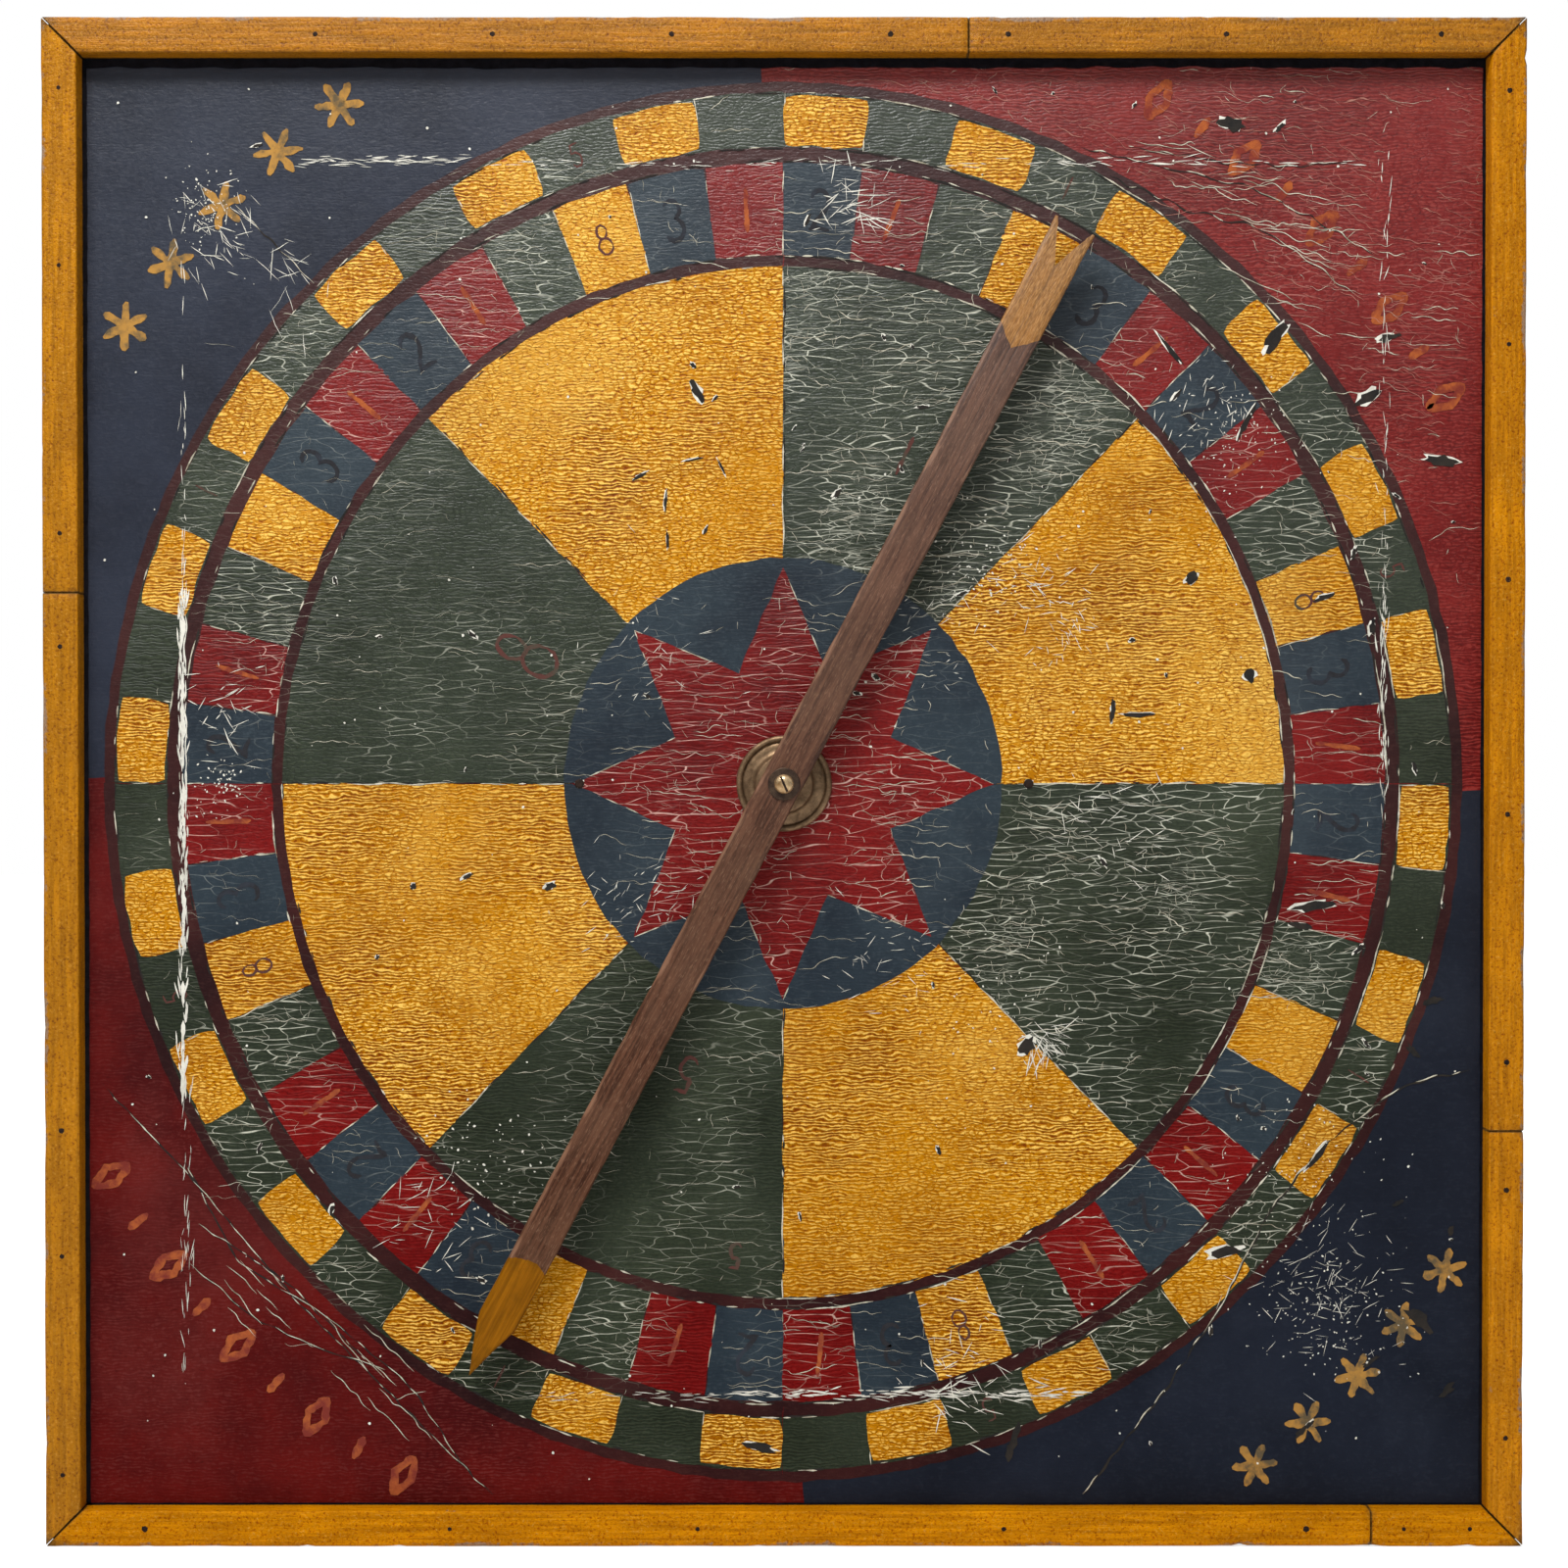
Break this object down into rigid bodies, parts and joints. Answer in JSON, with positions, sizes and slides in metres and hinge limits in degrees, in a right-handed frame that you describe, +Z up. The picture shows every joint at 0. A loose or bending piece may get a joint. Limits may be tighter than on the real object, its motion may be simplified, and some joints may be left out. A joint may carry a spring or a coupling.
{
  "type": "game spinner",
  "caption": "Large upright game spinner: painted canvas dial stretched on a lapped wooden strainer, raised mitred frame, brass hub and a long wooden arrow that turns on a slotted screw.",
  "frame": {"origin": "on the wall plane, at the arrow's axis, on the back face of the pivot rail", "axes": "+Z up, +X to the right for someone facing the dial, +Y into the wall; the dial faces -Y"},
  "size_m": [0.7874, 0.0431, 0.8128],
  "materials": {
    "ochre_paint": "aged ochre-yellow oil paint on wood",
    "bare_pine": "unfinished, darkened with age",
    "painted_canvas": "crackled oil paint in yellow, green, red and blue on cotton canvas",
    "arrow_paint": "worn maroon-brown paint, ochre at the point and the tail",
    "aged_brass": "dull, tarnished",
    "bright_brass": "rubbed bright, dirt in the slot",
    "dark_steel": "rusted dark"
  },
  "bodies": {
    "board": {"brad_bottom_left_1": "dark_steel", "brad_bottom_left_2": "dark_steel", "brad_bottom_left_3": "dark_steel", "brad_bottom_left_4": "dark_steel", "brad_bottom_left_5": "dark_steel", "brad_bottom_right_1": "dark_steel", "brad_bottom_right_2": "dark_steel", "brad_left_lower_1": "dark_steel", "brad_left_lower_2": "dark_steel", "brad_left_lower_3": "dark_steel", "brad_left_lower_4": "dark_steel", "brad_left_upper_1": "dark_steel", "brad_left_upper_2": "dark_steel", "brad_left_upper_3": "dark_steel", "brad_right_lower_1": "dark_steel", "brad_right_lower_2": "dark_steel", "brad_right_upper_1": "dark_steel", "brad_right_upper_2": "dark_steel", "brad_right_upper_3": "dark_steel", "brad_right_upper_4": "dark_steel", "brad_right_upper_5": "dark_steel", "brad_top_left_1": "dark_steel", "brad_top_left_2": "dark_steel", "brad_top_left_3": "dark_steel", "brad_top_left_4": "dark_steel", "brad_top_right_1": "dark_steel", "brad_top_right_2": "dark_steel", "brad_top_right_3": "dark_steel", "canvas": "painted_canvas", "canvas_nail_left": "dark_steel", "canvas_nail_right": "dark_steel", "hanging_eye_left": "dark_steel", "hanging_eye_right": "dark_steel", "head_washer": "dark_steel", "hub_rosette": "aged_brass", "hub_sleeve": "aged_brass", "lap_nail_bottom_left": "dark_steel", "lap_nail_bottom_right": "dark_steel", "lap_nail_middle_left": "dark_steel", "lap_nail_middle_right": "dark_steel", "lap_nail_top_left": "dark_steel", "lap_nail_top_right": "dark_steel", "lower_washer": "aged_brass", "pivot_rail": "bare_pine", "pivot_screw": "bright_brass", "rail_bottom": "bare_pine", "rail_top": "bare_pine", "stile_left": "bare_pine", "stile_right": "bare_pine", "strip_bottom_left": "ochre_paint", "strip_bottom_right": "ochre_paint", "strip_left_lower": "ochre_paint", "strip_left_upper": "ochre_paint", "strip_right_lower": "ochre_paint", "strip_right_upper": "ochre_paint", "strip_top_left": "ochre_paint", "strip_top_right": "ochre_paint"},
    "spinner": {"arrow": "arrow_paint", "arrow_eyelet": "aged_brass"}
  },
  "joints": [
    {"name": "spinner_spin", "type": "hinge", "parent": "board", "child": "spinner", "pos_m": [0, -0.035, 0], "axis": [0, -1, 0], "continuous": true}
  ]
}
